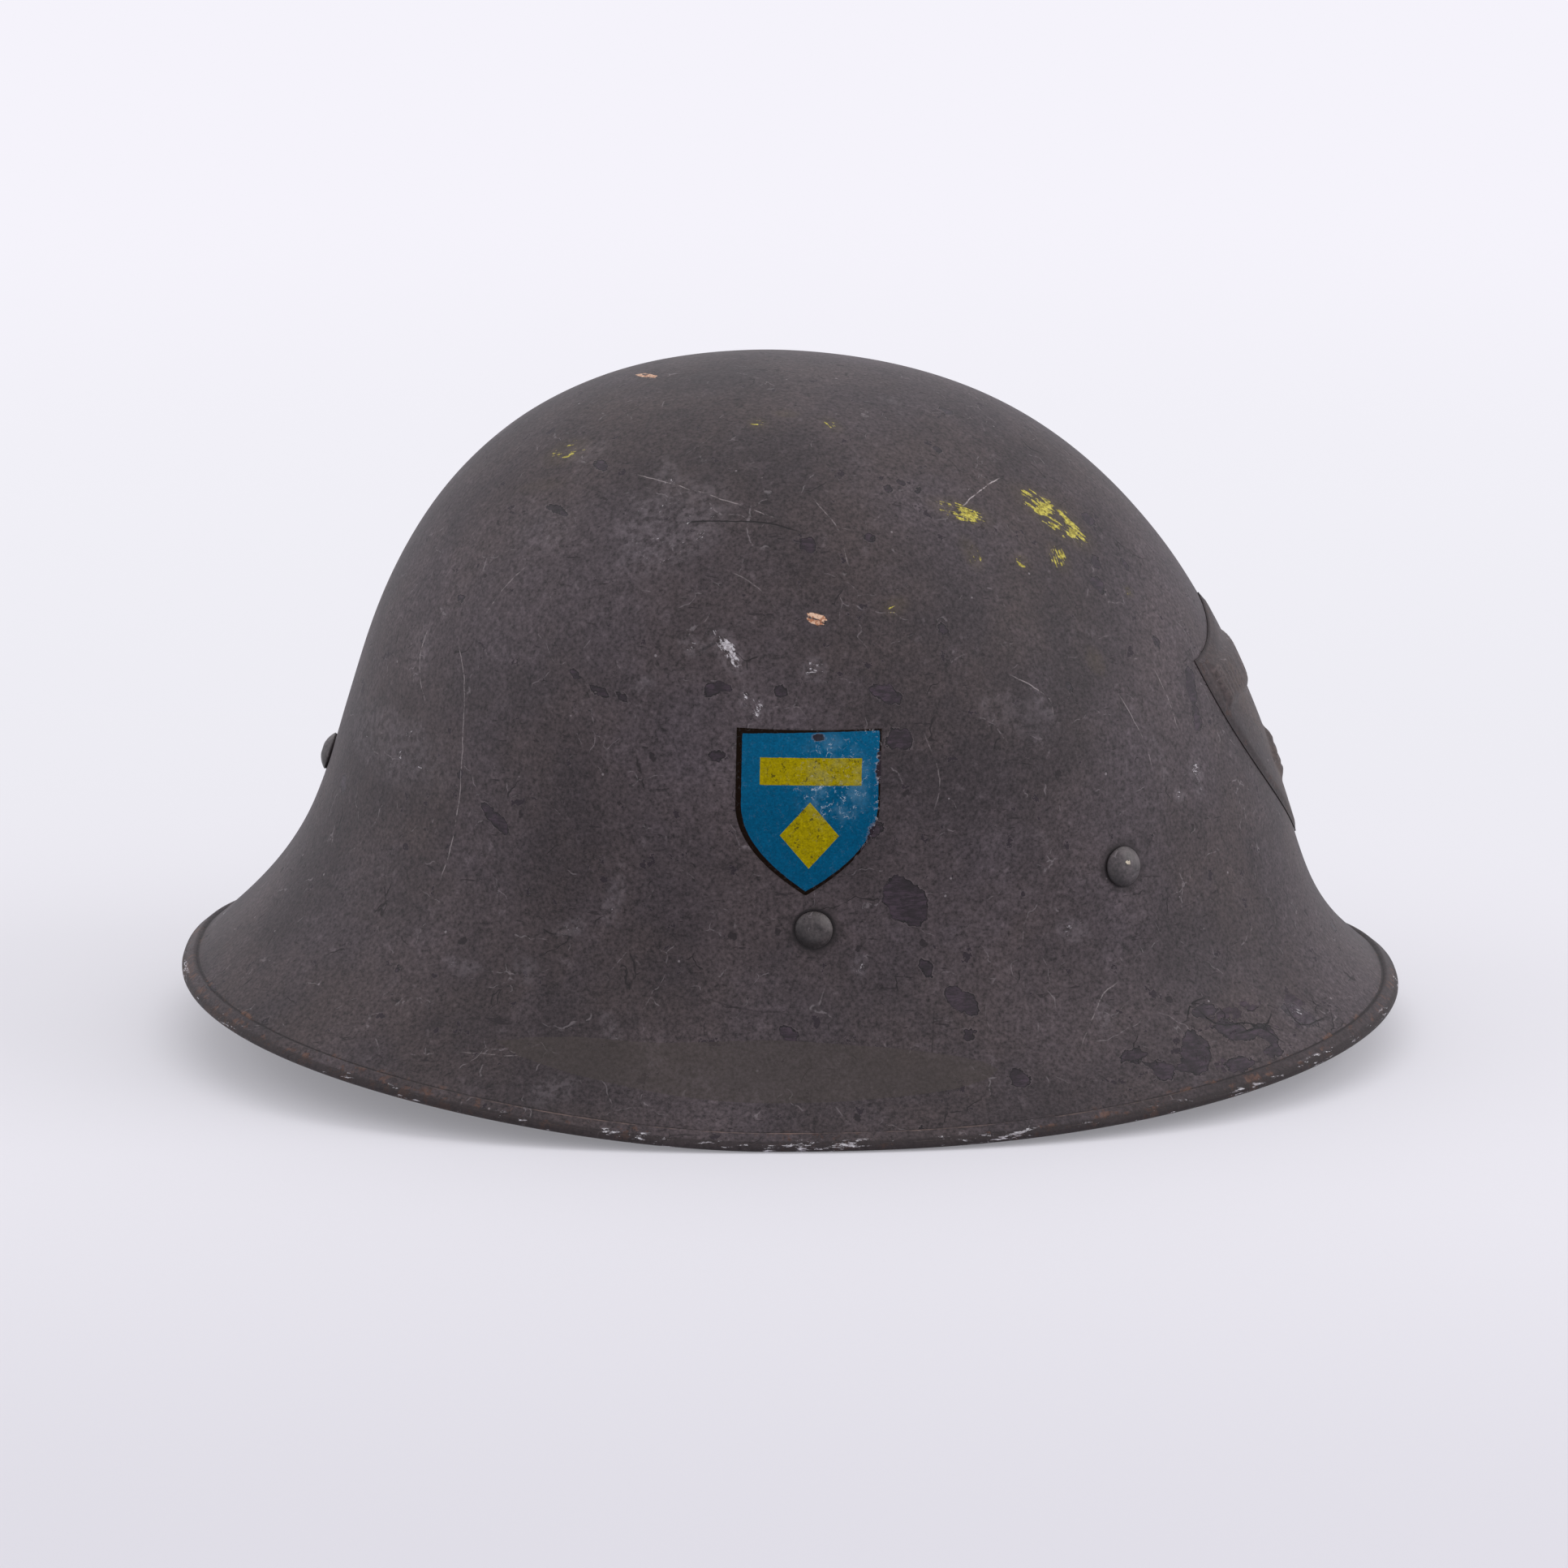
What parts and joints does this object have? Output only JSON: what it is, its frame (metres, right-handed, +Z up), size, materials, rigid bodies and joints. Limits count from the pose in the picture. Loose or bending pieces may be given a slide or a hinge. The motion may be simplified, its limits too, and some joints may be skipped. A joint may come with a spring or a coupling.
{
  "type": "steel helmet",
  "caption": "Bell-shaped steel military helmet with flared brim, shield plate on the front, riveted leather liner with stuffed pads, and a leather chinstrap with wire loops and a buckle.",
  "frame": {"origin": "on the surface that the helmet stands on, under the middle of the brim's length and width", "axes": "+X towards the wearer's front, +Y towards the wearer's left, +Z up towards the crown"},
  "size_m": [0.315, 0.25, 0.1741],
  "materials": {
    "shell_paint": "matte dark grey-brown paint, chipped and rubbed",
    "plate_paint": "matte dark grey-brown paint with rust along its edge",
    "pin_paint": "matte dark paint, rubbed on the heads",
    "bare_steel": "dull, lightly rusted steel",
    "band_leather": "dark brown, dry",
    "pad_leather": "tan, creased and darkened by wear",
    "stuffing": "unbleached cotton",
    "strap_leather": "dark brown, waxed, cracked at the folds"
  },
  "bodies": {
    "helmet": {"shell": "shell_paint", "front_plate": "plate_paint", "liner_pins": "pin_paint", "liner_pin_washers": "bare_steel", "side_rivets": "pin_paint", "side_rivet_washers": "bare_steel", "liner_band": "band_leather", "pad_leather_front": "pad_leather", "pad_leather_left": "pad_leather", "pad_leather_right": "pad_leather", "pad_cushion_front": "stuffing", "pad_cushion_left": "stuffing", "pad_cushion_right": "stuffing", "hanger_right": "bare_steel", "hanger_left": "bare_steel"},
    "loop_right": {"strap_loop_right": "bare_steel"},
    "loop_left": {"strap_loop_left": "bare_steel"},
    "strap_short": {"chinstrap_short": "strap_leather", "strap_rivets_short": "bare_steel"},
    "strap_long": {"chinstrap_long": "strap_leather", "strap_rivet_long": "bare_steel"},
    "buckle": {"buckle_frame": "bare_steel"},
    "prong": {"buckle_prong": "bare_steel"},
    "keeper": {"strap_keeper": "strap_leather"}
  },
  "joints": [
    {"name": "loop_right_swing", "type": "hinge", "parent": "helmet", "child": "loop_right", "pos_m": [0.00556, -0.09216, 0.0371], "axis": [-1, 0, 0], "range_deg": [-35, 5]},
    {"name": "loop_left_swing", "type": "hinge", "parent": "helmet", "child": "loop_left", "pos_m": [0.00556, 0.09216, 0.0371], "axis": [1, 0, 0], "range_deg": [-35, 5]},
    {"name": "strap_short_swing", "type": "hinge", "parent": "loop_right", "child": "strap_short", "pos_m": [0.00556, -0.09216, 0.0211], "axis": [-1, 0, 0], "range_deg": [-20, 72]},
    {"name": "strap_long_swing", "type": "hinge", "parent": "loop_left", "child": "strap_long", "pos_m": [0.00556, 0.09216, 0.0211], "axis": [1, 0, 0], "range_deg": [-20, 72]},
    {"name": "buckle_swing", "type": "hinge", "parent": "strap_short", "child": "buckle", "pos_m": [0.01606, 0.01983, 0.0053], "axis": [1, 0, 0], "range_deg": [-30, 60]},
    {"name": "prong_swing", "type": "hinge", "parent": "buckle", "child": "prong", "pos_m": [0.01606, 0.01983, 0.0053], "axis": [-1, 0, 0], "range_deg": [0, 90]},
    {"name": "keeper_slide", "type": "slide", "parent": "strap_short", "child": "keeper", "axis": [0, 1, 0], "range_m": [-0.005, 0.008]}
  ]
}
